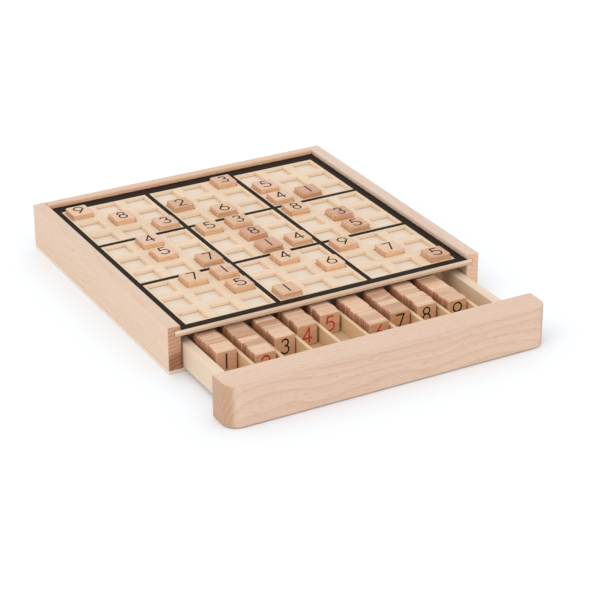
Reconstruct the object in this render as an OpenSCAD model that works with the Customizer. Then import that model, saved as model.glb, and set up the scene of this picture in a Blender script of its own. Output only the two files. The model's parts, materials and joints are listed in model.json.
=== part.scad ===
// Wooden sudoku board: a shallow beech case with a punched playing board let into its walls,
// loose number tiles standing in the windows, and a drawer with a slot for each number.
// Millimetres. X runs to the right, Y to the back and Z up.
// The origin is the middle of the base panel's underside.

/* [Playing board] */
// Width of the square window that holds a tile
window_w = 15.6; // [13:0.1:24]
// Width of the bar between two windows
bar_w = 6.8; // [4:0.1:10]
// Thickness of the punched grid sheet, which is the depth of a window
grid_t = 2.6; // [1.5:0.1:4]
// Thickness of the backing sheet that closes the windows from below
backing_t = 1.4; // [1:0.1:4]
// Width of the sheet between the field and a side wall
side_border = 4.2; // [3:0.1:15]
// Depth of the sheet in front of the field
front_border = 3.8; // [3:0.1:15]
// Depth of the sheet behind the field
back_border = 7.2; // [3:0.1:15]
// How far the printed border reaches over the half bars at the field's edge
border_overlap = 1.8; // [0:0.1:2]
// Width of the printed line between two blocks
block_line_w = 3.3; // [1:0.1:4]
// Thickness of the printed ink
ink_t = 0.12; // [0.05:0.01:0.3]

/* [Case] */
// Thickness of the two side walls
side_wall_t = 9; // [6:0.5:14]
// Thickness of the back wall
back_wall_t = 6.4; // [5:0.2:14]
// Height of the walls above the playing board
wall_rise = 3.4; // [1:0.1:10]
// Thickness of the base panel
base_t = 2.5; // [1.5:0.1:6]
// How deep the playing board is let into a side wall
side_groove_d = 4; // [2:0.5:5]
// How deep the playing board is let into the back wall
back_groove_d = 3; // [1.5:0.5:4]
// Rounding of a wall's two top edges
wall_edge_r = 1; // [0.3:0.1:2]
// Clearance around the playing board in its grooves
board_fit = 0.1; // [0:0.05:0.4]

/* [Number tiles] */
// Thickness of a tile
tile_t = 6; // [4:0.2:10]
// Clearance around a tile in its window
tile_fit = 0.3; // [0.15:0.05:0.6]
// Rounding of a tile's four corners, seen from above
tile_corner_r = 1.6; // [0.8:0.1:3]
// Rounding of the edges of a tile's two faces
tile_edge_r = 0.8; // [0.3:0.1:1.5]
// Gap under a tile, and between two tiles that stand one behind the other
tile_gap = 0.15; // [0.05:0.05:0.4]

/* [Drawer] */
// How far the drawer is pulled out
drawer_open = 60.3; // [0.3:0.1:75]
// Thickness of the drawer front
front_t = 21.5; // [14:0.5:30]
// Rounding of the front's two upright corners
front_corner_r = 10; // [4:0.5:13]
// Rounding of the front's other edges
front_edge_r = 1.2; // [0.4:0.1:2]
// Height of the front's foot above the table
front_foot = 0.4; // [0.2:0.1:2]
// How far the front's top lies below the playing board's top
front_drop = 0.2; // [0:0.1:4]
// Thickness of the drawer's two sides
drawer_side_t = 7; // [4:0.5:9]
// Height of the drawer's sides
drawer_side_h = 16.2; // [10:0.1:20]
// Thickness of the drawer's back
drawer_back_t = 6; // [4.5:0.5:12]
// Thickness of the drawer's floor
drawer_floor_t = 5; // [2:0.5:6]
// Rounding of the top edges of the drawer's sides and back
drawer_edge_r = 0.8; // [0.2:0.1:1.8]
// Clearance between the drawer and each side wall
drawer_side_fit = 1.4; // [0.4:0.1:2.5]
// Clearance between the drawer and the base panel
drawer_base_fit = 0.3; // [0.1:0.05:1]
// Thickness of a divider
divider_t = 2.5; // [1.5:0.1:3.4]
// How deep a divider's ends are housed in the front and the back
divider_housing = 2; // [0.5:0.25:3]
// Clearance around a divider's ends in their housings
divider_fit = 0.1; // [0:0.05:0.3]
// Spare width of a slot beside its tiles
slot_side_fit = 2.7; // [0.6:0.1:4]
// Spare length of a slot behind a full set of one number
slot_spare = 20.7; // [14:0.1:30]
// Room between standing tiles and the playing board above them
head_room = 2.2; // [0.6:0.1:8]
// Where the stored tiles stand in their slot: 0 is the middle, 1 is close to the divider
stack_lean = 1; // [0:0.1:1]
// Largest sideways stagger of a tile in its stack
stack_stagger = 0.6; // [0:0.05:0.6]

/* [Hidden] */
$fn = 48;
skew_seed = 7;
cut = 1;

// The numbers set out on the board, back row first
puzzle = [
    "9....3...",
    ".8.2..5..",
    "..3.6.41.",
    ".4.53.8..",
    ".5..8..3.",
    "..7.14.5.",
    ".71.4.9..",
    "..5..6.7.",
    "...1....5"
];
digits = [1:9];
cells = 9;
block = 3;

// Gap left behind the stored tiles of each number, from 1 to 9
stack_setback = [11.9, 7.4, 12.2, 5.5, 10.8, 12.3, 11.5, 11.2, 8.7];

cell_pitch = window_w + bar_w;
field_w = cells * cell_pitch;
inner_w = field_w + 2 * side_border;
case_w = inner_w + 2 * side_wall_t;
inner_d = front_border + field_w + back_border;
case_d = inner_d + back_wall_t;
case_front_y = -case_d / 2;
inner_back_y = case_front_y + inner_d;
field_y = case_front_y + front_border + field_w / 2;

tile_w = window_w - 2 * tile_fit;
drawer_z = base_t + drawer_base_fit;
slot_floor_z = drawer_z + drawer_floor_t;
drawer_top_z = drawer_z + drawer_side_h;
board_t = backing_t + grid_t;
board_z = slot_floor_z + tile_gap + tile_w + head_room;
board_top_z = board_z + board_t;
wall_h = board_top_z + wall_rise - base_t;
window_floor_z = board_z + backing_t;

front_back_y = case_front_y - drawer_open;
slot_w = tile_w + slot_side_fit;
slot_pitch = slot_w + divider_t;
slot_play = slot_side_fit / 2 - tile_gap;
stagger = min(stack_stagger, slot_play);
stack_shift = stack_lean * (slot_play - stagger);
stack_pitch = tile_t + tile_gap;
slot_l = cells * stack_pitch + slot_spare;
drawer_back_y = front_back_y + slot_l;
drawer_w = inner_w - 2 * drawer_side_fit;
drawer_inner_w = drawer_w - 2 * drawer_side_t;
slots_x = -drawer_inner_w / 2;

beech = "#e2c3a3";
beech_dark = "#d2a983";
basswood = "#f0dcb8";
ply = "#ecd6b0";
ink = "#2a2622";

function is_placed(row, col) = puzzle[row][col] != ".";
function tile_name(row, col) = str("tile_r", row + 1, "_c", col + 1);
function divider_name(n) = str("divider_", n);
function stack_name(n) = str("stack_", n);
function tiles_placed(n) = len([for (row = puzzle) for (mark = row) if (mark == str(n)) mark]);
function tiles_stored(n) = cells - tiles_placed(n);
function cell_x(col) = (col - (cells - 1) / 2) * cell_pitch;
function cell_y(row) = field_y - (row - (cells - 1) / 2) * cell_pitch;
// Low and high edge of the part of a block that no printed line covers, from the field's middle
function block_low(n) = (n - block / 2) * block * cell_pitch + (n > 0 ? block_line_w / 2 : border_overlap);
function block_high(n) = -block_low(block - 1 - n);

// A rectangle about the origin with four round corners
module rounded_rect(w, h, r) {
    square([w - 2 * r, h], center = true);
    square([w, h - 2 * r], center = true);
    for (x = [-1, 1], y = [-1, 1])
        translate([x * (w / 2 - r), y * (h / 2 - r)])
            circle(r);
}

// A board's cross-section, standing on the X axis, with its two top edges rounded
module board_section(t, h, r) {
    translate([-t / 2, 0])
        square([t, h - r]);
    translate([r - t / 2, 0])
        square([t - 2 * r, h]);
    for (x = [-1, 1])
        translate([x * (t / 2 - r), h - r])
            circle(r);
}

// Extrude a cross-section of X and Z along Y, towards the back
module along_y(length) {
    translate([0, length, 0])
        rotate([90, 0, 0])
            linear_extrude(length)
                children();
}

// Extrude a cross-section of Y and Z along X, to the right
module along_x(length) {
    rotate([90, 0, 90])
        linear_extrude(length)
            children();
}

// One number tile, lying on the origin with its printed face up
module tile() {
    intersection() {
        linear_extrude(tile_t)
            rounded_rect(tile_w, tile_w, tile_corner_r);
        translate([0, -tile_w / 2, tile_t / 2])
            along_y(tile_w)
                rounded_rect(tile_w, tile_t, tile_edge_r);
        translate([-tile_w / 2, 0, tile_t / 2])
            along_x(tile_w)
                rounded_rect(tile_w, tile_t, tile_edge_r);
    }
}

// The same tile on its edge, with its printed face to the front of the drawer
module standing_tile() {
    translate([0, tile_t, tile_w / 2])
        rotate([90, 0, 0])
            tile();
}

// The playing board's grooves, cut through a side wall's front end
module board_groove() {
    translate([0, case_front_y - cut, board_z - board_fit])
        cube([inner_w / 2 + side_groove_d, inner_d + back_groove_d + cut, board_t + 2 * board_fit]);
}

module base_panel() {
    color(ply)
        translate([-case_w / 2, case_front_y, 0])
            cube([case_w, case_d, base_t]);
}

module right_wall() {
    color(beech)
        difference() {
            translate([(inner_w + side_wall_t) / 2, case_front_y, base_t])
                along_y(case_d)
                    board_section(side_wall_t, wall_h, wall_edge_r);
            board_groove();
        }
}

module left_wall() {
    mirror([1, 0, 0])
        right_wall();
}

module back_wall() {
    color(beech)
        difference() {
            translate([-inner_w / 2, inner_back_y + back_wall_t / 2, base_t])
                along_x(inner_w)
                    board_section(back_wall_t, wall_h, wall_edge_r);
            translate([-inner_w / 2 - cut, inner_back_y - cut, board_z - board_fit])
                cube([inner_w + 2 * cut, back_groove_d + cut, board_t + 2 * board_fit]);
        }
}

// The outline of the playing board's two sheets, which are let into three walls
module board_sheet() {
    tongue = side_groove_d - board_fit;
    translate([-inner_w / 2 - tongue, case_front_y])
        square([inner_w + 2 * tongue, inner_d + back_groove_d - board_fit]);
}

module board_backing() {
    color(ply)
        translate([0, 0, board_z])
            linear_extrude(backing_t)
                board_sheet();
}

module board_grid() {
    color(basswood)
        translate([0, 0, window_floor_z])
            linear_extrude(grid_t)
                difference() {
                    board_sheet();
                    for (row = [0:cells - 1], col = [0:cells - 1])
                        translate([cell_x(col), cell_y(row)])
                            square(window_w, center = true);
                }
}

module printed_lines() {
    color(ink)
        translate([0, 0, board_top_z])
            linear_extrude(ink_t)
                difference() {
                    translate([-inner_w / 2, case_front_y])
                        square([inner_w, inner_d]);
                    for (i = [0:block - 1], j = [0:block - 1])
                        translate([block_low(i), field_y + block_low(j)])
                            square([block_high(i) - block_low(i), block_high(j) - block_low(j)]);
                }
}

// A number tile in its window
module placed_tile(row, col) {
    color(beech_dark)
        translate([cell_x(col), cell_y(row), window_floor_z + tile_gap])
            tile();
}

// An upright corner post of the drawer front, with its top and bottom edges rounded
module front_post(r, h) {
    rotate_extrude($fn = 32)
        intersection() {
            translate([0, h / 2])
                rounded_rect(2 * r, h, front_edge_r);
            square([r, h]);
        }
}

// Where a divider's front or back end is housed, on either side of the slots
module divider_housings(y) {
    for (n = digits)
        translate([slots_x + n * slot_pitch - divider_t - divider_fit, y, slot_floor_z])
            cube([divider_t + 2 * divider_fit, divider_housing, drawer_side_h - drawer_floor_t + divider_fit]);
}

module drawer_front() {
    h = board_top_z - front_drop - front_foot;
    front_y = front_back_y - front_t;
    color(beech)
        difference() {
            hull()
                for (side = [-1, 1]) {
                    translate([side * (case_w / 2 - front_corner_r), front_y + front_corner_r, front_foot])
                        front_post(front_corner_r, h);
                    translate([side * (case_w / 2 - front_edge_r), front_back_y - front_edge_r, front_foot])
                        front_post(front_edge_r, h);
                }
            divider_housings(front_back_y - divider_housing);
        }
}

module drawer_right_side() {
    color(basswood)
        translate([(drawer_w - drawer_side_t) / 2, front_back_y, drawer_z])
            along_y(slot_l + drawer_back_t)
                board_section(drawer_side_t, drawer_side_h, drawer_edge_r);
}

module drawer_left_side() {
    mirror([1, 0, 0])
        drawer_right_side();
}

module drawer_floor() {
    color(ply)
        translate([slots_x, front_back_y, drawer_z])
            cube([drawer_inner_w, slot_l + drawer_back_t, drawer_floor_t]);
}

module drawer_back() {
    color(basswood)
        difference() {
            translate([slots_x, drawer_back_y + drawer_back_t / 2, slot_floor_z])
                along_x(drawer_inner_w)
                    board_section(drawer_back_t, drawer_side_h - drawer_floor_t, drawer_edge_r);
            divider_housings(drawer_back_y);
        }
}

// The divider to the right of a number's slot
module divider(n) {
    color(basswood)
        translate([slots_x + n * slot_pitch - divider_t, front_back_y - divider_housing + divider_fit, slot_floor_z])
            cube([divider_t, slot_l + 2 * (divider_housing - divider_fit), drawer_side_h - drawer_floor_t]);
}

// The stored tiles of one number, on edge one behind the other in their slot
module stack(n) {
    count = tiles_stored(n);
    rear_y = drawer_back_y - stack_setback[n - 1];
    offsets = rands(-stagger, stagger, cells, skew_seed + n);
    color(beech_dark)
        for (i = [1:count])
            translate([
                slots_x + (n - 1) * slot_pitch + slot_w / 2 + stack_shift + offsets[i - 1],
                rear_y - i * stack_pitch,
                slot_floor_z + tile_gap
            ])
                standing_tile();
}

base_panel();
left_wall();
right_wall();
back_wall();
board_backing();
board_grid();
printed_lines();
drawer_front();
drawer_left_side();
drawer_right_side();
drawer_back();
drawer_floor();
for (n = digits) {
    divider(n);
    stack(n);
}
for (row = [0:cells - 1], col = [0:cells - 1])
    if (is_placed(row, col))
        placed_tile(row, col);
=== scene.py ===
# %% [markdown]
# A wooden sudoku board, dressed for its picture. The board is a shallow beech case with a punched
# playing sheet, loose number tiles and a drawer that keeps the spare tiles. The construction comes in
# as a fixed frame of plain solids. This lesson gives each solid eased edges, grain and print, one step
# at a time, and never moves what the frame put in place.

# %% Load the frame
import json
import math

import bmesh
import bpy
from mathutils import Matrix, Vector


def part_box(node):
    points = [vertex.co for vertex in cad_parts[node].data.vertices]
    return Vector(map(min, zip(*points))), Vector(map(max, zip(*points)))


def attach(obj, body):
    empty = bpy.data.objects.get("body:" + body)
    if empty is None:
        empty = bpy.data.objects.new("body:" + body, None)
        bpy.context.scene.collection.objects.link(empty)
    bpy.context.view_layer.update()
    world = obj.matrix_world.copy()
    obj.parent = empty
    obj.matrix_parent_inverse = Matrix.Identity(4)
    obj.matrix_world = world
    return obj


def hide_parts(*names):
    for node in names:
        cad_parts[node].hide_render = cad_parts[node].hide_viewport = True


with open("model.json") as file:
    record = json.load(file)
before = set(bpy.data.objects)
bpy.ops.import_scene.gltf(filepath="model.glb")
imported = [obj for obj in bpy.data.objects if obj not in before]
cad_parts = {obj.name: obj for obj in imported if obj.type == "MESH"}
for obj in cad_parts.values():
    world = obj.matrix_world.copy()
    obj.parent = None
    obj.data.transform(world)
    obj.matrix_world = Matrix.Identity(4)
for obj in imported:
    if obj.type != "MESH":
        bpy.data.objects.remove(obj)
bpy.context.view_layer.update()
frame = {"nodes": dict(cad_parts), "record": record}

MM = 0.001
WELD = 1e-6
scene = bpy.context.scene
for name in ("Cube", "Light", "Camera"):
    if name in bpy.data.objects:
        bpy.data.objects.remove(bpy.data.objects[name])

# %% [markdown]
# The camera comes first, because every later choice is judged through it. A long lens from the front
# left, a little above the board, keeps the far edge almost as wide as the near one. The aim is a point
# on the table, so the distance and two angles say all that is needed, and a small roll levels the view.

# %% Camera
CAMERA_AZIMUTH = math.radians(-28.44)
CAMERA_ELEVATION = math.radians(26.07)
CAMERA_ROLL = math.radians(-0.36)
CAMERA_AIM = Vector((8.5, -50.3, 0)) * MM
CAMERA_DISTANCE = 1.3896
LENS_MM = 125.9

towards_camera = Vector((
    math.sin(CAMERA_AZIMUTH) * math.cos(CAMERA_ELEVATION),
    -math.cos(CAMERA_AZIMUTH) * math.cos(CAMERA_ELEVATION),
    math.sin(CAMERA_ELEVATION),
))
camera = bpy.data.objects.new("camera", bpy.data.cameras.new("camera"))
camera.data.lens = LENS_MM
look = (-towards_camera).to_track_quat("-Z", "Y").to_matrix().to_4x4()
place = Matrix.Translation(CAMERA_AIM + towards_camera * CAMERA_DISTANCE)
camera.matrix_world = place @ look @ Matrix.Rotation(CAMERA_ROLL, 4, "Z")
scene.collection.objects.link(camera)
scene.camera = camera
print("camera at", [round(x, 3) for x in camera.matrix_world.translation])

# %% [markdown]
# Node trees are long to write by hand, so one small class wraps an output socket. Sums of wires and
# numbers add their Math nodes, and one method adds a node of any other kind: its settings first, then
# the values or links of its sockets. The same class serves materials and Geometry Nodes.


# %% Shader and geometry maths
class Wire:
    """An output socket of a node tree. Arithmetic on wires adds the Math nodes that work it out."""

    def __init__(self, tree, socket=None):
        self.tree = tree
        self.socket = socket

    def add(self, kind, settings=None, inputs=None, out=0):
        """Add a node: settings by name, inputs by name or number, and the output that is wanted."""
        node = self.tree.nodes.new(kind)
        for name, value in (settings or {}).items():
            setattr(node, name, value)
        for key, value in (inputs or {}).items():
            for one in value if isinstance(value, list) else [value]:
                if isinstance(one, Wire):
                    self.tree.links.new(one.socket, node.inputs[key])
                else:
                    node.inputs[key].default_value = one
        return Wire(self.tree, node.outputs[out])

    def other(self, out):
        """Another output of the same node."""
        return Wire(self.tree, self.socket.node.outputs[out])

    def math(self, operation, *values):
        return self.add("ShaderNodeMath", {"operation": operation}, dict(enumerate(values)))

    def __add__(self, other):
        return self.math("ADD", self, other)

    def __sub__(self, other):
        return self.math("SUBTRACT", self, other)

    def __rsub__(self, other):
        return self.math("SUBTRACT", other, self)

    def __mul__(self, other):
        return self.math("MULTIPLY", self, other)

    def __truediv__(self, other):
        return self.math("DIVIDE", self, other)

    def __pow__(self, other):
        return self.math("POWER", self, other)

    def __mod__(self, other):
        return self.math("FLOORED_MODULO", self, other)

    __radd__ = __add__
    __rmul__ = __mul__

    def step(self, low, high):
        """0 below low, 1 above high and a smooth rise between them."""
        levels = {"Value": self, "From Min": low, "From Max": high}
        return self.add("ShaderNodeMapRange", {"interpolation_type": "SMOOTHSTEP"}, levels)

    def mix(self, first, second):
        """Colour first where this wire is 0, and second where it is 1."""
        # The Mix node has sockets for every kind of data, and these numbers are those for colours.
        return self.add("ShaderNodeMix", {"data_type": "RGBA"}, {0: self, 6: first, 7: second}, 2)


# %% [markdown]
# Tones are written as six hex digits, as a colour picker shows them, but a shader needs linear values, so
# one helper turns the digits into those. Two more helpers say what the recipes do again and again: shade
# runs from a pale tone to a deep one, and tint moves a colour towards a tone where a mask says so.


# %% Tones and materials
def tone(code):
    """A colour written as six hex digits, in linear values by the usual curve of screens."""
    parts = [int(code[i:i + 2], 16) / 255 for i in (0, 2, 4)]
    linear = [p / 12.92 if p <= 0.04045 else ((p + 0.055) / 1.055) ** 2.4 for p in parts]
    return (*linear, 1.0)


def shade(depth, pale, deep):
    """The pale tone where depth is 0, the deep one where it is 1."""
    return depth.mix(tone(pale), tone(deep))


def tint(colour, mask, code, share):
    """A colour moved by a share towards a tone, where the mask is 1."""
    return (mask * share).mix(colour, tone(code))


def new_material(name):
    """A material with its tree, and a wire to build on."""
    material = bpy.data.materials.new(name)
    material.use_nodes = True
    return material, Wire(material.node_tree)


def finish_material(material, **sockets):
    """Set or link the sockets of the material's shader."""
    shader = material.node_tree.nodes["Principled BSDF"]
    for key, value in sockets.items():
        socket = shader.inputs[key.replace("_", " ")]
        if isinstance(value, Wire):
            material.node_tree.links.new(value.socket, socket)
        else:
            socket.default_value = value
    print("material:", material.name)
    return material


# %% [markdown]
# Wood is one solid pattern that every cut face shows a slice of. The rings are cylinders about the heart
# of the log, fibres and rays are noise stretched along the grain, and no log is quite straight, so slow
# noise bends all of them. A face cut across the grain shows the ends of the fibres, so it needs tones of
# its own, and masks tell such faces apart. The pattern reads Object coordinates, because a piece sits at
# the origin with its place in its mesh. An attribute shifts it for pieces cut from other parts of a log.


# %% Grain of a solid log
AXES = {"X": ("X", "Y", "Z"), "Y": ("Y", "X", "Z")}


class Log:
    """The grain of a log that runs along X or Y: rings, fibres, rays, pores and the masks of its faces."""

    # Noise: cells to the metre along the grain, cells to the metre across it, and finer detail.
    BEND = (16, 20, 1)
    WOBBLE = (9, 26, 2)
    FIBRE = (36, 1500, 3)
    BROAD = (4, 34, 2)
    RAY = (210, 1700, 0)
    PORE = (1500, 1500, 1)
    # Levels of the noise between which a ray or a pore rises out of the plain wood.
    RAY_RISE = (0.62, 0.74)
    PORE_RISE = (0.56, 0.7)
    # How many rings a ring may wander from its circle, and how late in a ring the wood turns dark.
    WANDER = 3.2
    LATENESS = 3
    # How squarely a face has to point one way to be a top or a front, an end, or no edge.
    FACING = (0.5, 0.9)
    ENDWISE = (0.4, 0.75)
    SQUARE = (0.8, 0.985)

    def __init__(self, wire, along, ring_mm, heart_mm, bend_mm=2.0):
        self.wire = wire
        coordinates = wire.add("ShaderNodeTexCoord", out="Object")
        cut_from = wire.add("ShaderNodeAttribute", {"attribute_name": "cut_from"}, out="Vector")
        spot = wire.add("ShaderNodeVectorMath", {"operation": "ADD"}, {0: coordinates, 1: cut_from})
        split = wire.add("ShaderNodeSeparateXYZ", None, {0: spot})
        self.length, self.across, self.through = (split.other(axis) for axis in AXES[along])
        self.height = self.through
        bend = (self.noise(*self.BEND) - 0.5) * (bend_mm * MM)
        self.across = self.across + bend
        self.through = self.through + bend
        wobble = self.noise(*self.WOBBLE) - 0.5
        off_across = self.across - heart_mm[0] * MM
        off_through = self.through - heart_mm[1] * MM
        self.radius = (off_across * off_across + off_through * off_through) ** 0.5
        turn = self.radius / (ring_mm * MM) + wobble * self.WANDER
        self.late = (turn % 1) ** self.LATENESS
        self.fibre = self.noise(*self.FIBRE)
        self.broad = self.noise(*self.BROAD)
        self.ray = self.noise(*self.RAY).step(*self.RAY_RISE)
        self.pore = self.noise(*self.PORE).step(*self.PORE_RISE)
        self.faces(coordinates.other("Normal"), along)

    def noise(self, along_per_m, across_per_m, detail):
        """Noise with so many cells to the metre along the grain and across it."""
        spot = self.wire.add("ShaderNodeCombineXYZ", None, {
            0: self.length * along_per_m,
            1: self.across * across_per_m,
            2: self.through * across_per_m,
        })
        return self.wire.add("ShaderNodeTexNoise", None, {"Vector": spot, "Scale": 1, "Detail": detail})

    def faces(self, normal, along):
        """Masks from where a face points: up, to the front, along the grain, or to no side squarely."""
        split = self.wire.add("ShaderNodeSeparateXYZ", None, {0: normal})
        lean = {axis: split.other(axis).math("ABSOLUTE", split.other(axis)) for axis in "XYZ"}
        self.up = split.other("Z").step(*self.FACING)
        self.front = (split.other("Y") * -1).step(*self.FACING)
        self.end = lean[along].step(*self.ENDWISE)
        flattest = lean["X"].math("MAXIMUM", lean["X"], lean["Y"])
        flattest = flattest.math("MAXIMUM", flattest, lean["Z"])
        self.edge = 1 - flattest.step(*self.SQUARE)

    def bump(self, height, depth_mm, strength):
        """A Bump node's normal for a relief of that depth."""
        levels = {"Height": height, "Strength": strength, "Distance": depth_mm * MM}
        return self.wire.add("ShaderNodeBump", None, levels)


# %% [markdown]
# Beech is a pale pinkish wood with fine fibres, faint rings and many short dark rays, and its cut ends
# show the rings with fine pores. A picture of wood would fit one face only, so one recipe works the tone
# out from the log: each pattern has its weight beside it, and the last number centres the sum between the
# pale tone and the deep one. The side walls run along Y, the back wall and the drawer front along X. The
# left wall was cut near the heart, with dark heartwood low in its ends, and the right one further out,
# with pale ends. The front was sawn flat, so its ends show upright rings. Tops are painted a little greyer
# and darker for how the light falls on them, and the inside of the back wall gets painted warm bounce
# light. A thin oil on sanded wood leaves it rough with little gloss.

# %% Beech for the case and the drawer front
BEECH_RING_MM = 2.8
HEARTWOOD_SOFT_MM = 3.5


def beech(name, along, heart_mm, bend_mm, sides, ends, heartwood_mm=0, front_painted_bounce=0):
    """Beech with a pale and a deep tone for its sides and its ends, and heartwood out to a radius."""
    material, wire = new_material(name)
    log = Log(wire, along, BEECH_RING_MM, heart_mm, bend_mm)
    depth = log.late * 0.32 + log.fibre * 0.55 + log.broad * 0.6 - 0.44
    side = shade(depth, *sides)
    # Painted light: faces to the front are painted warmer by a share, a painted bounce light for the inside
    # of the back wall.
    side = tint(side, log.front, "fdc8a2", front_painted_bounce)
    # Painted light: top faces are moved a little towards a dimmer grey, for how the light falls on them.
    side = tint(side, log.up, "c0aea1", 0.25)
    side = tint(side, log.ray, "b98258", 0.24)
    inside = (heartwood_mm - HEARTWOOD_SOFT_MM) * MM
    outside = (heartwood_mm + HEARTWOOD_SOFT_MM) * MM
    heartwood = 1 - log.radius.step(inside, outside)
    rings = log.late ** 0.5 * 0.42 + log.pore * 0.25 + log.broad * 0.6 + heartwood * 0.6 - 0.28
    colour = log.end.mix(side, shade(rings, *ends))
    colour = tint(colour, log.edge, "c69a72", 0.22)
    relief = log.fibre * 0.6 - log.ray * 0.5 + log.late * 0.3
    return finish_material(
        material,
        Base_Color=colour,
        Roughness=log.fibre * 0.16 + 0.48,
        Normal=log.bump(relief, depth_mm=0.12, strength=0.35),
    )


beech_left = beech(
    "beech_left", "Y", heart_mm=(-92, -60), bend_mm=3,
    sides=("e0c5ae", "caa587"), ends=("d2a280", "87502f"), heartwood_mm=75.5,
)
beech_right = beech(
    "beech_right", "Y", heart_mm=(64, -88), bend_mm=3,
    sides=("dfc7b5", "c8a68c"), ends=("ecc5a7", "d19c77"),
)
beech_back = beech(
    "beech_back", "X", heart_mm=(-162, -74), bend_mm=6,
    sides=("e0c1a6", "c59b7b"), ends=("cda98c", "b18a6c"), front_painted_bounce=0.7,
)
beech_front = beech(
    "beech_front", "X", heart_mm=(-290, -24), bend_mm=4,
    sides=("e1c2ab", "c59c7f"), ends=("c19b7d", "a77e5f"),
)

# %% [markdown]
# The drawer's sides, back and dividers and the punched sheet are a paler, yellower wood with hardly any
# figure. Little light reaches the walls of the sheet's windows, so its cut edges get a paler tone as
# painted light, and a dark line of painted shade lies where they meet the backing. An attribute of the mesh
# marks the cut edges, and pieces without windows simply lack it. The thin dividers are the most orange of
# these pieces, with deeper tones that paint the shade inside the drawer.

# %% Pale sheet wood
SHEET_RING_MM = 4.5
SHEET_HEART_MM = (-210, -130)
CREASE_SHADE_BAND = (0.1 * MM, 0.55 * MM)


def pale_wood(name, along, pale, deep):
    material, wire = new_material(name)
    log = Log(wire, along, SHEET_RING_MM, SHEET_HEART_MM)
    depth = log.fibre * 0.6 + log.broad * 0.5 + log.late * 0.16 - 0.3
    colour = shade(depth, pale, deep)
    colour = tint(colour, log.ray, "c69b66", 0.1)
    cut = wire.add("ShaderNodeAttribute", {"attribute_name": "cut_edge"}, out="Fac")
    # Painted light: the cut walls of the windows get little light, so they are painted paler.
    colour = tint(colour, cut, "f4dfc6", log.fibre * 0.4 + 0.6)
    # Painted shade: a dark line low on the window walls, where they meet the backing.
    above_backing = log.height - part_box("board_grid")[0].z
    crease_shade = cut * (1 - above_backing.step(*CREASE_SHADE_BAND))
    colour = tint(colour, crease_shade, "a9794a", 0.7)
    colour = tint(colour, log.end, "dcb88a", 0.4)
    colour = tint(colour, log.edge, "e0bd90", 0.3)
    relief = log.fibre * 0.7 - log.ray * 0.3
    return finish_material(
        material,
        Base_Color=colour,
        Roughness=log.fibre * 0.14 + 0.5,
        Normal=log.bump(relief, depth_mm=0.1, strength=0.25),
    )


sheet_wood = pale_wood("sheet_wood", "X", "e3cdb5", "cbad87")
drawer_wood = pale_wood("drawer_wood", "Y", "e4cfb8", "d2b798")
drawer_wood_across = pale_wood("drawer_wood_across", "X", "e4cfb8", "d2b798")
# Painted shade: the dividers get deeper, more orange tones than the drawer's sides, for the shade inside
# the drawer.
divider_wood = pale_wood("divider_wood", "Y", "dfc29c", "c9a274")

# %% [markdown]
# Plywood shows a plain pale face and, at its edges, thin layers whose grain crosses. Every other layer
# takes more of the tone of the edges. The layers are worked out from the height in the sheet, so each
# sheet needs its own low face and thickness, which the frame gives.

# %% Plywood
PLIES = 3
PLY_RING_MM = 6
PLY_HEART_MM = (-300, -160)
PLY_JOINT = (0.9, 1.1)


def plywood(name, node, pale, deep, edge_tone):
    material, wire = new_material(name)
    low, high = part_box(node)
    log = Log(wire, "X", PLY_RING_MM, PLY_HEART_MM)
    level = (log.height - low.z) / (high.z - low.z) * PLIES
    crossing = (level % 2).step(*PLY_JOINT)
    depth = log.fibre * 0.7 + log.broad * 0.6 - 0.35
    colour = shade(depth, pale, deep)
    colour = tint(colour, 1 - log.up, edge_tone, crossing * 0.5 + 0.3)
    return finish_material(
        material,
        Base_Color=colour,
        Roughness=log.fibre * 0.12 + 0.52,
        Normal=log.bump(log.fibre * 0.6, depth_mm=0.08, strength=0.25),
    )


ply_base = plywood("ply_base", "base_panel", "e6d7c9", "d3bba2", edge_tone="e3cdb4")
ply_backing = plywood("ply_backing", "board_backing", "e4d7c8", "cab396", edge_tone="d09a6c")
# Painted shade: the drawer floor gets deeper tones than the other plywood, for the shade inside the drawer.
ply_drawer_painted_shade = plywood("ply_drawer_painted_shade", "drawer_floor", "dcc09c", "c7a377", edge_tone="cfa678")

# %% [markdown]
# The number tiles are small beech blocks, tumbled until their edges are soft. Each was cut from another
# place in the log, so the mesh carries a shift of the grain and a tone of its own, from straw to pink. The
# sawn sides are painted more orange than the printed faces, as warm bounce light, and printed faces that do
# not point up get painted warmth too. The ends are dark with fine upright lines. The ends of tiles that
# stand in the drawer get painted shade of their narrow slots and are the darkest.

# %% Beech for the tiles
TILE_RING_MM = 2.4
TILE_HEART_MM = (-60, -40)
PINK_TURNS = 7
END_LINES_PER_M = 900
END_LINE_RISE = (0.45, 0.65)


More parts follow.
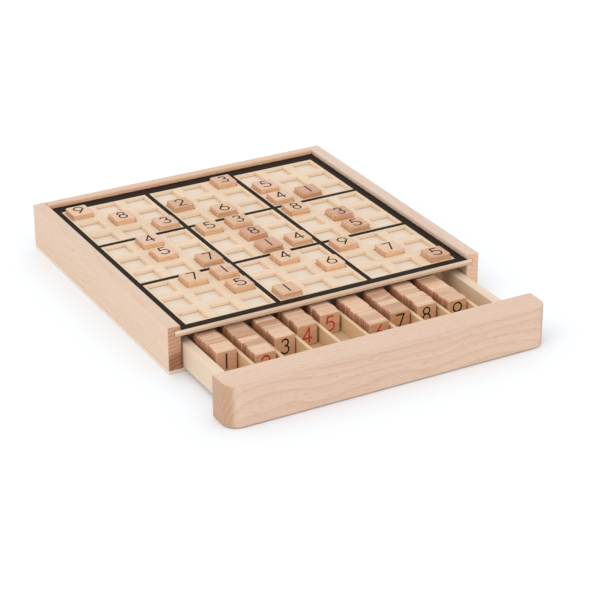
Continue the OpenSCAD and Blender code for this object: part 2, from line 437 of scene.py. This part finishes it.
def tile_wood():
    material, wire = new_material("tile_beech")
    log = Log(wire, "X", TILE_RING_MM, TILE_HEART_MM)
    own_tone, sawn, stored = (
        wire.add("ShaderNodeAttribute", {"attribute_name": label}, out="Fac")
        for label in ("own_tone", "sawn", "stored")
    )
    pinkness = (own_tone * PINK_TURNS) % 1
    depth = log.late * 0.4 + log.fibre * 0.5 + log.broad * 0.3 + own_tone * 0.9 - 0.7
    pale_face = shade(pinkness, "dcbe9d", "d6b3a1")
    deep_face = shade(pinkness, "c59468", "b7836b")
    # Painted light: printed faces that do not point up, such as the fronts of standing tiles, are painted
    # more orange, for bounce light and shade.
    face = tint(depth.mix(pale_face, deep_face), 1 - log.up, "d39663", 0.4)
    # Painted light: sawn faces that do not point up get warmer, more orange tones than sawn tops, for
    # bounce light.
    sides = shade(depth, "edc298", "c28962")
    tops = shade(depth, "dbb99d", "a06b4c")
    colour = sawn.mix(face, log.up.mix(sides, tops))
    colour = tint(colour, log.ray, "ab6f45", 0.3)
    lines = wire.add("ShaderNodeTexNoise", {"noise_dimensions": "1D"}, {
        "W": log.across * END_LINES_PER_M, "Scale": 1,
    })
    # Painted shade: the ends of tiles in the drawer's slots are darker, for the shade of the narrow slots.
    pale_end = shade(stored, "d8a884", "ae7354")
    deep_end = shade(stored, "a06a49", "6a381e")
    ends = (log.pore * 0.3 + lines.step(*END_LINE_RISE) * 0.7).mix(pale_end, deep_end)
    colour = (log.end * sawn * 0.85).mix(colour, ends)
    relief = log.fibre * 0.6 - log.ray * 0.5 + log.late * 0.3
    return finish_material(
        material,
        Base_Color=colour,
        Roughness=log.fibre * 0.16 + 0.5,
        Normal=log.bump(relief, depth_mm=0.12, strength=0.35),
    )


tile_beech = tile_wood()

# %% [markdown]
# The print is a thin coat of satin ink that sinks into the fibres, so it has a trace of grain in its
# gloss and is a little thin here and there. It borrows the log's fibres, so it runs with the wood below.

# %% Ink
INK_RING_MM = 3
INK_HEART_MM = (-150, -90)
THIN_INK = (0.5, 0.8)


def ink(name, full, thin):
    material, wire = new_material(name)
    log = Log(wire, "X", INK_RING_MM, INK_HEART_MM)
    return finish_material(
        material,
        Base_Color=shade(log.fibre.step(*THIN_INK) * 0.6, full, thin),
        Roughness=log.fibre * 0.2 + 0.62,
        Specular_IOR_Level=0.16,
        Normal=log.bump(log.fibre, depth_mm=0.05, strength=0.25),
    )


black_ink = ink("black_ink", "21140a", "3e2a17")
red_ink = ink("red_ink", "c4261d", "d44834")

# %% [markdown]
# Sawn and sanded pieces never have knife edges. A copy of each solid is welded, its flat faces are joined
# again, and a Bevel modifier eases every edge. Weighted normals then keep the wide faces flat in the
# light. The result replaces the frame's node and rides on the same body.

# %% Eased wooden pieces
EASE_ANGLE = math.radians(30)
EASE_SEGMENTS = 2
FACE_WEIGHT = 100
FLAT_ANGLE = math.radians(0.5)
BODY_OF = {
    node: body for body, nodes in frame["record"]["behaviour"]["bodies"].items() for node in nodes
}


def link(name, mesh):
    """A new object at the origin that shows a mesh."""
    piece = bpy.data.objects.new(name, mesh)
    scene.collection.objects.link(piece)
    return piece


def soften(piece, ease_mm):
    """Modifiers that ease the edges and keep wide faces flat in the light."""
    bevel = piece.modifiers.new("eased", "BEVEL")
    bevel.width = ease_mm * MM
    bevel.segments = EASE_SEGMENTS
    bevel.limit_method = "ANGLE"
    bevel.angle_limit = EASE_ANGLE
    normals = piece.modifiers.new("flat_faces", "WEIGHTED_NORMAL")
    normals.weight = FACE_WEIGHT


def bake_shape(piece):
    """Turn a piece's modifiers into a plain mesh, shaded smooth."""
    for face in piece.data.polygons:
        face.use_smooth = True
    graph = bpy.context.evaluated_depsgraph_get()
    mesh = bpy.data.meshes.new_from_object(
        piece.evaluated_get(graph), preserve_all_data_layers=True, depsgraph=graph
    )
    piece.modifiers.clear()
    piece.data = mesh
    return piece


def stand_for(piece, *nodes):
    """The piece replaces these nodes and rides on the body of the first."""
    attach(piece, BODY_OF[nodes[0]])
    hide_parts(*nodes)


def welded(node):
    """A copy of a node's solid with its triangles joined into flat faces again."""
    shape = bmesh.new()
    shape.from_mesh(frame["nodes"][node].data)
    bmesh.ops.remove_doubles(shape, verts=shape.verts, dist=WELD)
    bmesh.ops.dissolve_limit(shape, angle_limit=FLAT_ANGLE, verts=shape.verts, edges=shape.edges)
    mesh = bpy.data.meshes.new(node)
    shape.to_mesh(mesh)
    shape.free()
    return mesh


def eased(node, material, ease_mm):
    piece = link(node + "_wood", welded(node))
    piece.data.materials.append(material)
    soften(piece, ease_mm)
    bake_shape(piece)
    stand_for(piece, node)
    print("eased:", node, len(piece.data.polygons), "faces")


eased("base_panel", ply_base, ease_mm=0.25)
eased("left_wall", beech_left, ease_mm=0.6)
eased("right_wall", beech_right, ease_mm=0.6)
eased("back_wall", beech_back, ease_mm=0.3)
eased("board_backing", ply_backing, ease_mm=0.2)
eased("drawer_front", beech_front, ease_mm=0.3)
eased("drawer_left_side", drawer_wood, ease_mm=0.4)
eased("drawer_right_side", drawer_wood, ease_mm=0.4)
eased("drawer_back", drawer_wood_across, ease_mm=0.3)
eased("drawer_floor", ply_drawer_painted_shade, ease_mm=0.2)

# %% [markdown]
# What repeats is made by Geometry Nodes. A small helper opens a tree with named inputs, and another runs
# a tree on a mesh, sets its inputs by their identifiers and keeps the result as a plain mesh. A tree that
# makes all its own geometry still needs a mesh to run on, so it gets a single point.

# %% Helpers for Geometry Nodes
GEOMETRY = "NodeSocketGeometry"
LENGTH = "NodeSocketFloat"
COUNT = "NodeSocketInt"
POINT = "NodeSocketVector"
FINISH = "NodeSocketMaterial"
SHAPE = "NodeSocketObject"


def open_tree(name, **inputs):
    """A tree with a geometry input and named inputs, and the wires of those inputs."""
    tree = bpy.data.node_groups.new(name, "GeometryNodeTree")
    tree.interface.new_socket("Geometry", in_out="INPUT", socket_type=GEOMETRY)
    for label, kind in inputs.items():
        tree.interface.new_socket(label, in_out="INPUT", socket_type=kind)
    tree.interface.new_socket("Geometry", in_out="OUTPUT", socket_type=GEOMETRY)
    group = tree.nodes.new("NodeGroupInput")
    wires = {socket.name: Wire(tree, socket) for socket in group.outputs if socket.name}
    return tree, Wire(tree), wires


def close_tree(tree, wire, result, material):
    """End a tree: real meshes in place of instances, with their material."""
    real = wire.add("GeometryNodeRealizeInstances", None, {0: result})
    dressed = wire.add("GeometryNodeSetMaterial", None, {"Geometry": real, "Material": material})
    out = tree.nodes.new("NodeGroupOutput")
    tree.links.new(dressed.socket, out.inputs[0])
    return tree


def grow(name, tree, mesh, ease_mm=0, **values):
    """Run a tree on a mesh and keep what it makes as a plain mesh."""
    piece = link(name, mesh)
    modifier = piece.modifiers.new("nodes", "NODES")
    modifier.node_group = tree
    for item in tree.interface.items_tree:
        if item.in_out == "INPUT" and item.name in values:
            modifier[item.identifier] = values[item.name]
    if ease_mm:
        soften(piece, ease_mm)
    return bake_shape(piece)


def points(places):
    """A mesh of loose points."""
    mesh = bpy.data.meshes.new("points")
    mesh.from_pydata([tuple(p) for p in places], [], [])
    return mesh


def single_point():
    return points([(0, 0, 0)])


# %% [markdown]
# The playing sheet has 81 square windows. They could be cut one by one, but a grid of faces, two lines to
# each window, is a sheet before it is punched, and stays clean. Faces between the two lines of a window,
# both ways, are taken out, the lines move to their real places, and the sheet is pulled up to its
# thickness. All its cut edges get a mark, because the material paints them a paler tone, a painted light.

# %% Tree of the punched sheet
ACROSS = 9
LINES = 2 * ACROSS + 2
LAST_LINE = LINES - 1


def punched_sheet():
    tree, wire, given = open_tree(
        "punched_sheet", Low=POINT, High=POINT, First=POINT, Pitch=LENGTH, Window=LENGTH, Material=FINISH
    )
    grid = wire.add("GeometryNodeMeshGrid", None, {
        "Size X": LAST_LINE, "Size Y": LAST_LINE, "Vertices X": LINES, "Vertices Y": LINES,
    })
    position = wire.add("GeometryNodeInputPosition")
    split = wire.add("ShaderNodeSeparateXYZ", None, {0: position})
    low, high, first = (
        wire.add("ShaderNodeSeparateXYZ", None, {0: given[label]}) for label in ("Low", "High", "First")
    )

    def line_number(axis):
        """Lines are counted from 0, and halves lie in the middle of a face."""
        return split.other(axis) + LAST_LINE / 2

    def line_place(axis):
        number = line_number(axis)
        from_first = number - 1
        side = from_first.math("ROUND", from_first) % 2
        window = (from_first - side) / 2
        inner = first.other(axis) + window * given["Pitch"] + side * given["Window"]
        at_low = number.math("LESS_THAN", number, 0.5)
        at_high = number.math("GREATER_THAN", number, LAST_LINE - 0.5)
        outer = low.other(axis) * at_low + high.other(axis) * at_high
        return inner * (1 - at_low) * (1 - at_high) + outer

    def in_window(axis):
        number = line_number(axis)
        return number.math("FLOOR", number) % 2

    punched = wire.add("GeometryNodeDeleteGeometry", {"domain": "FACE"}, {
        0: grid, "Selection": in_window("X") * in_window("Y"),
    })
    real_place = wire.add("ShaderNodeCombineXYZ", None, {
        0: line_place("X"), 1: line_place("Y"), 2: low.other("Z"),
    })
    flat = wire.add("GeometryNodeSetPosition", None, {0: punched, "Position": real_place})
    thickness = high.other("Z") - low.other("Z")
    raised = wire.add("GeometryNodeExtrudeMesh", {"mode": "FACES"}, {
        "Mesh": flat, "Offset": (0, 0, 1), "Offset Scale": thickness, "Individual": False,
    })
    marked = wire.add("GeometryNodeStoreNamedAttribute", {"data_type": "FLOAT", "domain": "FACE"}, {
        "Geometry": raised, "Selection": raised.other("Side"), "Name": "cut_edge", "Value": 1.0,
    })
    under = wire.add("GeometryNodeFlipFaces", None, {0: flat})
    whole = wire.add("GeometryNodeJoinGeometry", None, {0: [marked, under]})
    whole = wire.add("GeometryNodeMergeByDistance", None, {0: whole, "Distance": WELD})
    return close_tree(tree, wire, whole, given["Material"])


# %% [markdown]
# The sheet's sizes come from the frame. The tiles in it tell how far apart the windows are and, with the
# play that a tile has in its window, how wide they are.

# %% Punch the sheet
TILE_FIT = 0.3 * MM
COLUMNS_APART = 6 - 1


def middle(node):
    low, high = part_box(node)
    return (low + high) / 2


corner_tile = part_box("tile_r1_c1")
TILE_W = corner_tile[1].x - corner_tile[0].x
TILE_T = corner_tile[1].z - corner_tile[0].z
PITCH = (middle("tile_r1_c6").x - middle("tile_r1_c1").x) / COLUMNS_APART
WINDOW = TILE_W + 2 * TILE_FIT
first_window = Vector((middle("tile_r1_c1").x, middle("tile_r1_c1").y - (ACROSS - 1) * PITCH, 0))
first_window -= Vector((WINDOW / 2, WINDOW / 2, 0))
sheet_low, sheet_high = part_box("board_grid")
playing_sheet = grow(
    "playing_sheet", punched_sheet(), single_point(), ease_mm=0.22,
    Low=sheet_low, High=sheet_high, First=first_window, Pitch=PITCH, Window=WINDOW, Material=sheet_wood,
)
stand_for(playing_sheet, "board_grid")
print("playing sheet:", len(playing_sheet.data.polygons), "faces, pitch", round(PITCH / MM, 2), "mm")

# %% [markdown]
# The nine dividers of the drawer are one slat, repeated along a line. The frame gives the first one and
# the step to the next. Each slat gets its own shift of the grain from a seeded random value, so no two
# look alike and every run gives the same nine.

# %% Drawer dividers
DIVIDER_SEED = 3


def store_on_copies(wire, copies, label, kind, value):
    """Keep a value on each copy, where the material can read it by its label."""
    return wire.add("GeometryNodeStoreNamedAttribute", {"data_type": kind, "domain": "INSTANCE"}, {
        "Geometry": copies, "Name": label, "Value": value,
    })


def slats():
    tree, wire, given = open_tree(
        "slats", Count=COUNT, First=POINT, Step=POINT, Size=POINT, Seed=COUNT, Material=FINISH
    )
    row = wire.add("GeometryNodeMeshLine", None, {
        "Count": given["Count"], "Start Location": given["First"], "Offset": given["Step"],
    })
    slat = wire.add("GeometryNodeMeshCube", None, {"Size": given["Size"]})
    placed = wire.add("GeometryNodeInstanceOnPoints", None, {"Points": row, "Instance": slat})
    shift = wire.add("FunctionNodeRandomValue", {"data_type": "FLOAT_VECTOR"}, {"Seed": given["Seed"]})
    placed = store_on_copies(wire, placed, "cut_from", "FLOAT_VECTOR", shift)
    return close_tree(tree, wire, placed, given["Material"])


divider_nodes = [f"divider_{n}" for n in range(1, 10)]
first_low, first_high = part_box(divider_nodes[0])
dividers = grow(
    "dividers", slats(), single_point(), ease_mm=0.3,
    Count=len(divider_nodes), First=middle("divider_1"), Step=middle("divider_2") - middle("divider_1"),
    Size=first_high - first_low, Seed=DIVIDER_SEED, Material=divider_wood,
)
stand_for(dividers, *divider_nodes)
print("dividers:", len(divider_nodes))

# %% [markdown]
# A tile is a block with round corners and soft edges. One Bevel modifier would round all edges alike, so
# one blank is made in mesh code: a cube whose upright edges are rounded first, and then the rims of its
# two faces. What lies between the rims is marked as sawn.

# %% Tile blank
TILE_CORNER = 1.6 * MM
TILE_CORNER_STEPS = 6
TILE_EDGE = 0.8 * MM
TILE_EDGE_STEPS = 4
ROUND_PROFILE = 0.5


def rounded(shape, edges, offset, steps):
    bmesh.ops.bevel(
        shape, geom=edges, offset=offset, segments=steps, profile=ROUND_PROFILE, affect="EDGES"
    )


def tile_blank():
    shape = bmesh.new()
    bmesh.ops.create_cube(shape, size=1)
    bmesh.ops.scale(shape, vec=(TILE_W, TILE_W, TILE_T), verts=shape.verts)
    upright = [e for e in shape.edges if abs(e.verts[0].co.z - e.verts[1].co.z) > WELD]
    rounded(shape, upright, TILE_CORNER, TILE_CORNER_STEPS)
    rims = [e for e in shape.edges if abs(e.verts[0].co.z - e.verts[1].co.z) < WELD]
    rounded(shape, rims, TILE_EDGE, TILE_EDGE_STEPS)
    sawn = shape.verts.layers.float.new("sawn")
    for vert in shape.verts:
        vert[sawn] = 1.0 if abs(vert.co.z) < TILE_T / 2 - WELD else 0.0
    mesh = bpy.data.meshes.new("tile_blank")
    shape.to_mesh(mesh)
    shape.free()
    return link("tile_blank", mesh)


blank = tile_blank()
print("tile blank:", len(blank.data.polygons), "faces")

# %% [markdown]
# There are 81 tiles: those set out on the sheet lie flat, and the rest stand on edge in the drawer. One
# tree sets a copy of the blank on every point where the frame has a tile, turned to lie or to stand, and
# stores what the material asks for: a shift of the grain, a tone of its own and whether the tile stands
# in a slot of the drawer, whose shade the material paints on its ends.

# %% Tiles on points
TONE_SEED_SHIFT = 50
# The Random Value node has an output for each kind of value, and the second one is the single number.
RANDOM_NUMBER = 1


def set_tiles():
    tree, wire, given = open_tree(
        "set_tiles", Blank=SHAPE, Turn=POINT, Stored=LENGTH, Seed=COUNT, Material=FINISH
    )
    shape = wire.add("GeometryNodeObjectInfo", None, {"Object": given["Blank"]}, "Geometry")
    placed = wire.add("GeometryNodeInstanceOnPoints", None, {
        "Points": given["Geometry"], "Instance": shape, "Rotation": given["Turn"],
    })
    shift = wire.add("FunctionNodeRandomValue", {"data_type": "FLOAT_VECTOR"}, {"Seed": given["Seed"]})
    own_tone = wire.add("FunctionNodeRandomValue", {"data_type": "FLOAT"}, {
        "Seed": given["Seed"] + TONE_SEED_SHIFT,
    }, RANDOM_NUMBER)
    placed = store_on_copies(wire, placed, "cut_from", "FLOAT_VECTOR", shift)
    placed = store_on_copies(wire, placed, "own_tone", "FLOAT", own_tone)
    placed = store_on_copies(wire, placed, "stored", "FLOAT", given["Stored"])
    return close_tree(tree, wire, placed, given["Material"])


def solid_middles(node):
    """The middle of each separate solid in a node, from the front to the back."""
    shape = bmesh.new()
    shape.from_mesh(frame["nodes"][node].data)
    bmesh.ops.remove_doubles(shape, verts=shape.verts, dist=WELD)
    waiting = set(shape.verts)
    middles = []
    while waiting:
        reached = {waiting.pop()}
        edge_of_reach = list(reached)
        while edge_of_reach:
            for edge in edge_of_reach.pop().link_edges:
                for vert in set(edge.verts) & waiting:
                    waiting.discard(vert)
                    reached.add(vert)
                    edge_of_reach.append(vert)
        places = [v.co for v in reached]
        low = Vector(map(min, *places))
        high = Vector(map(max, *places))
        middles.append((low + high) / 2)
    shape.free()
    return sorted(middles, key=lambda m: m.y)


# %% Set out and stored tiles
LYING = Vector((0, 0, 0))
STANDING = Vector((math.radians(90), 0, 0))
tile_tree = set_tiles()
tile_nodes = sorted(n for n in frame["nodes"] if n.startswith("tile_"))
stack_nodes = [f"stack_{n}" for n in range(1, 10)]
tile_places = {n: solid_middles(n) for n in tile_nodes + stack_nodes}
for seed, node in enumerate(tile_nodes + stack_nodes):
    in_drawer = node in stack_nodes
    tiles = grow(
        node + "_wood", tile_tree, points(tile_places[node]), Blank=blank,
        Turn=STANDING if in_drawer else LYING, Stored=float(in_drawer), Seed=seed, Material=tile_beech,
    )
    stand_for(tiles, node)
bpy.data.objects.remove(blank)
print("tiles:", sum(len(p) for p in tile_places.values()))

# %% [markdown]
# The numbers are printed in a thin geometric face: straight strokes and parts of circles, all of one
# width. A font could differ from one computer to the next, so each number is a few centre lines on a
# unit square. A line or an arc is all that has to be written down, and a tail that touches a ring starts
# where the tangent does.

# %% Centre lines of the numbers
ARC_STEPS = 20


def arc(x, y, radius, start, end):
    """Points on a circle from one angle to another, in degrees."""
    turns = [math.radians(start + (end - start) * i / ARC_STEPS) for i in range(ARC_STEPS + 1)]
    return [(x + radius * math.cos(t), y + radius * math.sin(t)) for t in turns]


def touch_angle(point, x, y, radius):
    """The angle, in degrees, at which a line from a point touches the left side of a circle."""
    away = math.atan2(point[1] - y, point[0] - x)
    distance = math.hypot(point[0] - x, point[1] - y)
    return math.degrees(away + math.acos(radius / distance))


def bowl_with_tail(x, y, radius, tip):
    """A ring with a straight tail that touches its left side, as in a six."""
    touch = touch_angle(tip, x, y, radius)
    return [[tip] + arc(x, y, radius, touch, touch + 360)]


def half_turn(lines):
    return [[(-px, 1 - py) for px, py in line] for line in lines]


foot = (-0.27, 0.0)
two_end = touch_angle(foot, 0, 0.735, 0.265)
six = bowl_with_tail(0, 0.31, 0.31, (0.16, 1.0))
NUMBER_LINES = {
    1: [[(0, 0), (0, 1)]],
    2: [arc(0, 0.735, 0.265, 170, two_end) + [foot], [foot, (0.29, 0)]],
    3: [arc(0, 0.77, 0.23, 155, -90), arc(0, 0.27, 0.27, 90, -155)],
    4: [[(0.13, 0), (0.13, 1)], [(0.13, 1), (-0.31, 0.27)], [(-0.31, 0.27), (0.3, 0.27)]],
    5: [[(0.22, 1), (-0.17, 1)], [(-0.17, 1), (-0.23, 0.55)], arc(-0.01, 0.325, 0.325, 134, -150)],
    6: six,
    7: [[(-0.27, 1), (0.28, 1)], [(0.28, 1), (-0.09, 0)]],
    8: [arc(0, 0.765, 0.235, 0, 360), arc(0, 0.27, 0.27, 0, 360)],
    9: half_turn(six),
}
print("numbers:", {n: len(lines) for n, lines in NUMBER_LINES.items()})

# %% [markdown]
# A tree turns the centre lines into print. It sweeps a flat ribbon along each line, sets a round dot on
# each end and joins them all. A union of flat shapes leaves many thin faces, so only its outline is kept:
# the outline is filled again and pulled up to the thickness of the ink.

# %% Ribbons of ink
NUMBER_H = 10 * MM
STROKE = 1.1 * MM
INK_T = 0.05 * MM
DOT_SIDES = 24
# Shares of the ink's thickness, above which a face is on top, and of the stroke, within which points merge.
TOP_SHARE = 0.4
MERGE_SHARE = 0.02


def ribbons():
    tree, wire, given = open_tree("ink_ribbons", Stroke=LENGTH, Depth=LENGTH, Material=FINISH)
    lines = wire.add("GeometryNodeMeshToCurve", None, {0: given["Geometry"]})
    lines = wire.add("GeometryNodeSetCurveNormal", {"mode": "Z_UP"}, {0: lines})
    section = wire.add("GeometryNodeCurvePrimitiveQuadrilateral", {"mode": "RECTANGLE"}, {
        "Width": given["Stroke"], "Height": given["Depth"],
    })
    swept = wire.add("GeometryNodeCurveToMesh", None, {0: lines, 1: section, "Fill Caps": True})
    dot = wire.add("GeometryNodeMeshCylinder", {"fill_type": "NGON"}, {
        "Vertices": DOT_SIDES, "Radius": given["Stroke"] / 2, "Depth": given["Depth"],
    })
    ends = wire.add("GeometryNodeCurveEndpointSelection")
    dots = wire.add("GeometryNodeInstanceOnPoints", None, {
        "Points": lines, "Selection": ends, "Instance": dot,
    })
    dots = wire.add("GeometryNodeRealizeInstances", None, {0: dots})
    both = wire.add("GeometryNodeJoinGeometry", None, {0: [swept, dots]})
    union = wire.add("GeometryNodeMeshBoolean", {"operation": "UNION", "solver": "EXACT"}, {
        "Mesh 2": both, "Self Intersection": True,
    })
    return close_tree(tree, wire, refilled(wire, union, given), given["Material"])


def refilled(wire, union, given):
    """A flat solid with the outline of the union, but with one clean face on top and one below."""
    position = wire.add("GeometryNodeInputPosition")
    height = wire.add("ShaderNodeSeparateXYZ", None, {0: position}).other("Z")
    below_top = height.math("LESS_THAN", height, given["Depth"] * TOP_SHARE)
    top = wire.add("GeometryNodeDeleteGeometry", {"domain": "FACE"}, {0: union, "Selection": below_top})
    faces_beside = wire.add("GeometryNodeInputMeshEdgeNeighbors")
    on_rim = faces_beside.math("LESS_THAN", faces_beside, 2)
    rim = wire.add("GeometryNodeMeshToCurve", None, {0: top, "Selection": on_rim})
    rim = wire.add("GeometryNodeCurveToMesh", None, {0: rim})
    rim = wire.add("GeometryNodeMergeByDistance", None, {0: rim, "Distance": given["Stroke"] * MERGE_SHARE})
    outline = wire.add("GeometryNodeMeshToCurve", None, {0: rim})
    flat = wire.add("GeometryNodeFillCurve", {"mode": "NGONS"}, {0: outline})
    lower = wire.add("ShaderNodeCombineXYZ", None, {2: given["Depth"] * -0.5})
    flat = wire.add("GeometryNodeSetPosition", None, {0: flat, "Offset": lower})
    raised = wire.add("GeometryNodeExtrudeMesh", {"mode": "FACES"}, {
        "Mesh": flat, "Offset": (0, 0, 1), "Offset Scale": given["Depth"], "Individual": False,
    })
    under = wire.add("GeometryNodeFlipFaces", None, {0: flat})
    whole = wire.add("GeometryNodeJoinGeometry", None, {0: [raised, under]})
    return wire.add("GeometryNodeMergeByDistance", None, {0: whole, "Distance": WELD})


# %% Stamps
def line_mesh(lines):
    """The centre lines of a number as edges, about the middle of its face."""
    verts, edges = [], []
    for line in lines:
        start = len(verts)
        verts += [(x * NUMBER_H, (y - 0.5) * NUMBER_H, 0) for x, y in line]
        edges += [(i, i + 1) for i in range(start, len(verts) - 1)]
    mesh = bpy.data.meshes.new("lines")
    mesh.from_pydata(verts, edges, [])
    return mesh


INKS = {"black": black_ink, "red": red_ink}
ribbon_tree = ribbons()
stamps = {}
for colour, material in INKS.items():
    for n, lines in NUMBER_LINES.items():
        stamp = grow("stamp", ribbon_tree, line_mesh(lines), Stroke=STROKE, Depth=INK_T, Material=material)
        stamps[n, colour] = stamp.data
        bpy.data.objects.remove(stamp)
print("stamps:", {n: len(mesh.polygons) for (n, colour), mesh in stamps.items() if colour == "black"})

# %% [markdown]
# Every tile carries its number twice: black on one face, for the numbers that a puzzle gives, and red on
# the other, for those that a player adds. The stamps are copied to the faces of each tile and joined to
# one mesh for each tile and colour, or each stack and colour. Ink soaks in, so a little less than half
# of the film lies in the wood and the rest stands above it.

# %% Print the tiles
PUZZLE = (
    "9....3...",
    ".8.2..5..",
    "..3.6.41.",
    ".4.53.8..",
    ".5..8..3.",
    "..7.14.5.",
    ".71.4.9..",
    "..5..6.7.",
    "...1....5",
)
RED_FRONTS = {2, 4, 5, 6}
MIDDLE_ABOVE_WOOD = 0.1 * INK_T
PRINT_LIFT = TILE_T / 2 + MIDDLE_ABOVE_WOOD
UPWARDS = Matrix.Identity(4)
TO_FRONT = Matrix.Rotation(STANDING.x, 4, "X")
TO_UNDERSIDE = Matrix.Rotation(math.pi, 4, "Y")


def number_of(node):
    """A stack is named for its number, and a tile for its row and column in the puzzle."""
    if node in stack_nodes:
        return int(node.removeprefix("stack_"))
    row, column = node.removeprefix("tile_r").split("_c")
    return int(PUZZLE[int(row) - 1][int(column) - 1])


def print_faces(node, colour, on_back):
    """Stamp one face of every tile in a node."""
    shape = bmesh.new()
    stand = TO_FRONT if node in stack_nodes else UPWARDS
    turn = stand @ (TO_UNDERSIDE if on_back else UPWARDS)
    for spot in tile_places[node]:
        mesh = stamps[number_of(node), colour].copy()
        mesh.transform(Matrix.Translation(spot) @ turn @ Matrix.Translation((0, 0, PRINT_LIFT)))
        shape.from_mesh(mesh)
        bpy.data.meshes.remove(mesh)
    for face in shape.faces:
        face.material_index = 0
    mesh = bpy.data.meshes.new(f"{node}_{colour}")
    shape.to_mesh(mesh)
    shape.free()
    mesh.materials.append(INKS[colour])
    piece = link(f"{node}_{colour}", mesh)
    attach(piece, BODY_OF[node])


for node in tile_nodes + stack_nodes:
    red_in_front = node in stack_nodes and number_of(node) in RED_FRONTS
    print_faces(node, "black", on_back=red_in_front)
    print_faces(node, "red", on_back=not red_in_front)
print("printed:", len(tile_nodes), "tiles and", len(stack_nodes), "stacks")

# %% [markdown]
# The border and block lines are already the right shape in the frame, a film of ink on the sheet, so that
# node stays and only gets the ink.

# %% Printed lines
ink_film = frame["nodes"]["printed_lines"]
ink_film.data.materials.clear()
ink_film.data.materials.append(black_ink)
print("printed lines: black ink")

# %% [markdown]
# The picture is a bright one: a white table, light from all round and one wide soft source on the left, so
# faces to the left are the brightest and shadows stay short and pale. A sun lights the whole table evenly,
# and a table that is a little blue is still white in the open but has cool shadows.

# %% Table and light
FLOOR_SIZE = 12.0
FLOOR_Z = -0.05 * MM
FLOOR_CLOUDS_PER_M = 3.0
SUN_PLACE = (-3.0, -1.0, 3.2)
SUN_SPREAD = math.radians(40)
SUN_STRENGTH = 0.5
SUN_TINT = (1.0, 0.985, 0.96)
SKY_TINT = (0.99, 0.995, 1.0, 1.0)
SKY_STRENGTH = 1.07


def table_top():
    material, wire = new_material("table_white")
    spot = wire.add("ShaderNodeTexCoord", out="Object")
    cloud = wire.add("ShaderNodeTexNoise", None, {
        "Vector": spot, "Scale": FLOOR_CLOUDS_PER_M, "Detail": 2,
    })
    finish_material(material, Base_Color=shade(cloud, "eff4f9", "f1f5f9"), Roughness=0.85)
    mesh = bpy.data.meshes.new("table")
    half = FLOOR_SIZE / 2
    corners = [(x * half, y * half, FLOOR_Z) for x, y in ((-1, -1), (1, -1), (1, 1), (-1, 1))]
    mesh.from_pydata(corners, [], [(0, 1, 2, 3)])
    mesh.materials.append(material)
    link("table", mesh)


def soft_sun():
    """A sun that shines from its place towards the origin, as wide in the sky as its spread."""
    light = bpy.data.lights.new("key", "SUN")
    light.angle = SUN_SPREAD
    light.energy = SUN_STRENGTH
    light.color = SUN_TINT
    sun = bpy.data.objects.new("key", light)
    sun.location = SUN_PLACE
    sun.rotation_euler = (-Vector(SUN_PLACE)).to_track_quat("-Z", "Y").to_euler()
    scene.collection.objects.link(sun)


def pale_sky():
    """Light of one strength from all round."""
    sky = bpy.data.worlds.new("sky")
    sky.use_nodes = True
    background = sky.node_tree.nodes["Background"]
    background.inputs["Color"].default_value = SKY_TINT
    background.inputs["Strength"].default_value = SKY_STRENGTH
    scene.world = sky


table_top()
soft_sun()
pale_sky()
scene.view_settings.view_transform = "Standard"
scene.view_settings.look = "None"
print("table and light are set")
